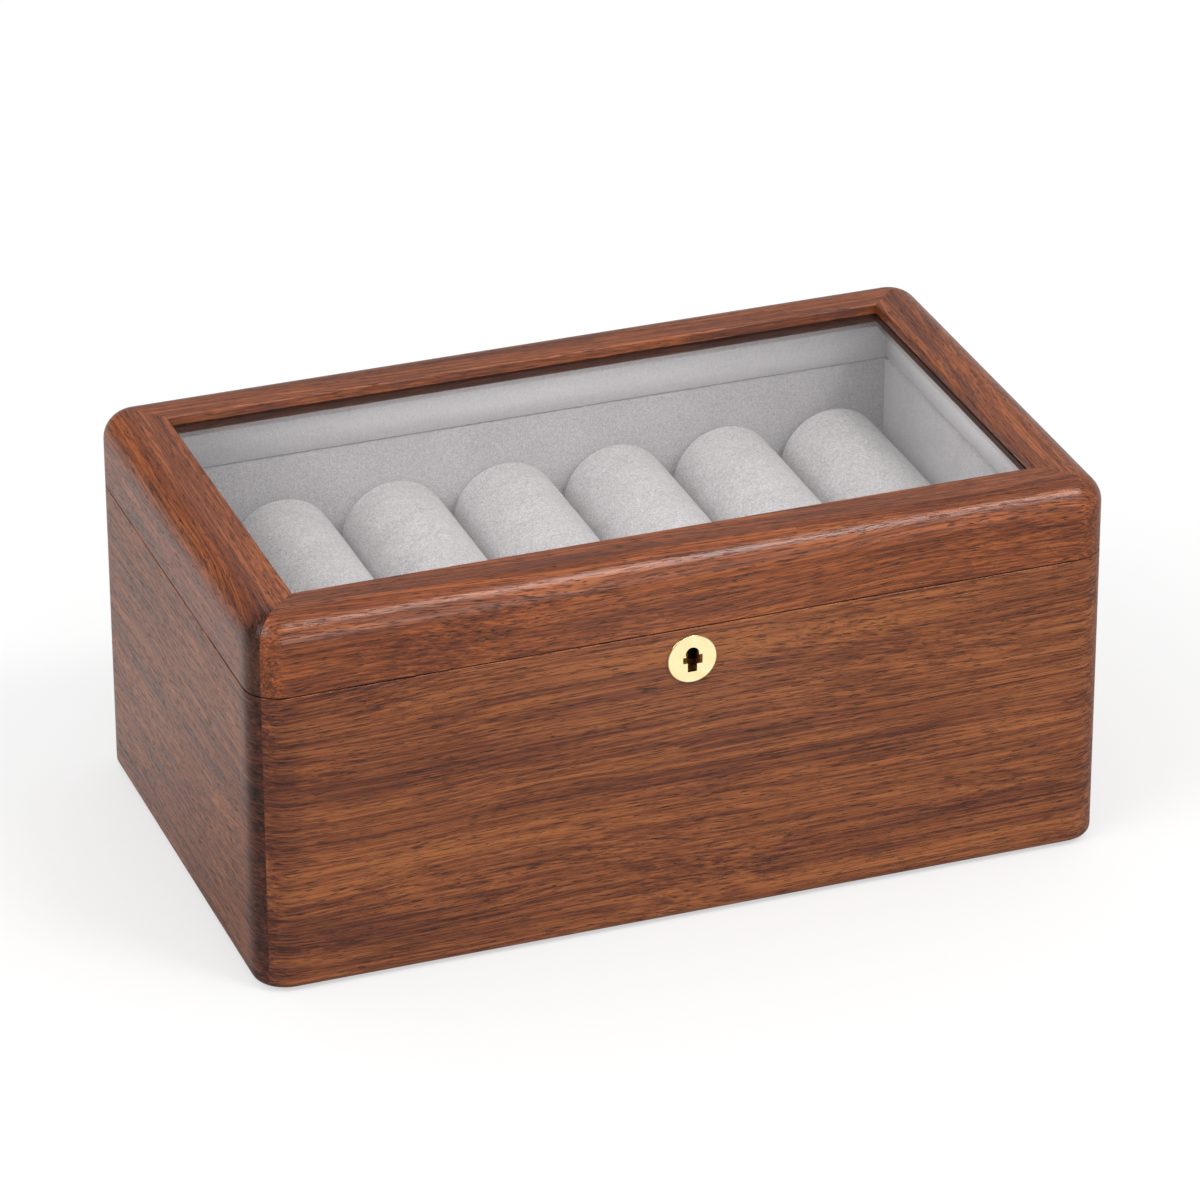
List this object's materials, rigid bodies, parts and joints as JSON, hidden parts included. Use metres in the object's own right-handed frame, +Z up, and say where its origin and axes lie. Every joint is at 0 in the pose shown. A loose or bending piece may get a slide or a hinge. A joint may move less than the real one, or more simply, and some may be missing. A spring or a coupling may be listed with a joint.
{
  "type": "bangle box",
  "caption": "Walnut bangle box with a hinged glass-topped lid, velvet lining, loose velvet rolls in half-round seats, and a small brass lock.",
  "frame": {"origin": "middle of the box's underside, on the face that it stands on", "axes": "+X along the length, +Z up; the front with the lock faces -Y"},
  "size_m": [0.33, 0.2029, 0.15],
  "materials": {
    "walnut": "satin oiled walnut",
    "dark_walnut": "satin dark stain",
    "plywood": "plain sanded",
    "felt": "pressed felt",
    "velvet": "short-pile velvet",
    "card": "wound card tube",
    "glass": "clear float glass",
    "brass": "satin brass",
    "polished_brass": "polished"
  },
  "bodies": {
    "base": {"base_front_wall": "walnut", "base_liner_front": "velvet", "base_back_wall": "walnut", "base_liner_back": "velvet", "base_left_wall": "walnut", "base_liner_left": "velvet", "base_right_wall": "walnut", "base_liner_right": "velvet", "bottom_panel": "plywood", "underside_felt": "felt", "floor_pad": "velvet", "cradle_front": "velvet", "cradle_back": "velvet", "hinge_base_leaf_left": "brass", "hinge_pin_left": "brass", "hinge_base_leaf_right": "brass", "hinge_pin_right": "brass", "hinge_base_screws": "brass", "lock_screws": "brass", "lock_case": "brass", "lock_escutcheon": "polished_brass"},
    "lid": {"lid_front_rail": "walnut", "lid_back_rail": "walnut", "lid_left_rail": "walnut", "lid_right_rail": "walnut", "glass_pane": "glass", "glass_retainer_front": "dark_walnut", "glass_retainer_back": "dark_walnut", "glass_retainer_left": "dark_walnut", "glass_retainer_right": "dark_walnut", "lid_liner_front": "velvet", "lid_liner_back": "velvet", "lid_liner_left": "velvet", "lid_liner_right": "velvet", "hinge_lid_leaf_left": "brass", "hinge_lid_leaf_right": "brass", "hinge_lid_screws": "brass", "strike_plate": "brass", "strike_tongues": "brass", "strike_screws": "brass"},
    "bolt": {"lock_bolt": "brass"},
    "roll_1": {"roll_1_tube": "card", "roll_1_sleeve": "velvet", "roll_1_end_discs": "velvet"},
    "roll_2": {"roll_2_tube": "card", "roll_2_sleeve": "velvet", "roll_2_end_discs": "velvet"},
    "roll_3": {"roll_3_tube": "card", "roll_3_sleeve": "velvet", "roll_3_end_discs": "velvet"},
    "roll_4": {"roll_4_tube": "card", "roll_4_sleeve": "velvet", "roll_4_end_discs": "velvet"},
    "roll_5": {"roll_5_tube": "card", "roll_5_sleeve": "velvet", "roll_5_end_discs": "velvet"},
    "roll_6": {"roll_6_tube": "card", "roll_6_sleeve": "velvet", "roll_6_end_discs": "velvet"}
  },
  "joints": [
    {"name": "lid_hinge", "type": "hinge", "parent": "base", "child": "lid", "pos_m": [0, 0.10075, 0.1202], "axis": [-1, 0, 0], "range_deg": [0, 95]},
    {"name": "bolt_slide", "type": "slide", "parent": "base", "child": "bolt", "axis": [1, 0, 0], "range_m": [0, 0.004]},
    {"name": "roll_1_lift", "type": "slide", "parent": "base", "child": "roll_1", "axis": [0, 0, 1], "range_m": [0, 0.034]},
    {"name": "roll_2_lift", "type": "slide", "parent": "base", "child": "roll_2", "axis": [0, 0, 1], "range_m": [0, 0.034]},
    {"name": "roll_3_lift", "type": "slide", "parent": "base", "child": "roll_3", "axis": [0, 0, 1], "range_m": [0, 0.034]},
    {"name": "roll_4_lift", "type": "slide", "parent": "base", "child": "roll_4", "axis": [0, 0, 1], "range_m": [0, 0.034]},
    {"name": "roll_5_lift", "type": "slide", "parent": "base", "child": "roll_5", "axis": [0, 0, 1], "range_m": [0, 0.034]},
    {"name": "roll_6_lift", "type": "slide", "parent": "base", "child": "roll_6", "axis": [0, 0, 1], "range_m": [0, 0.034]}
  ]
}
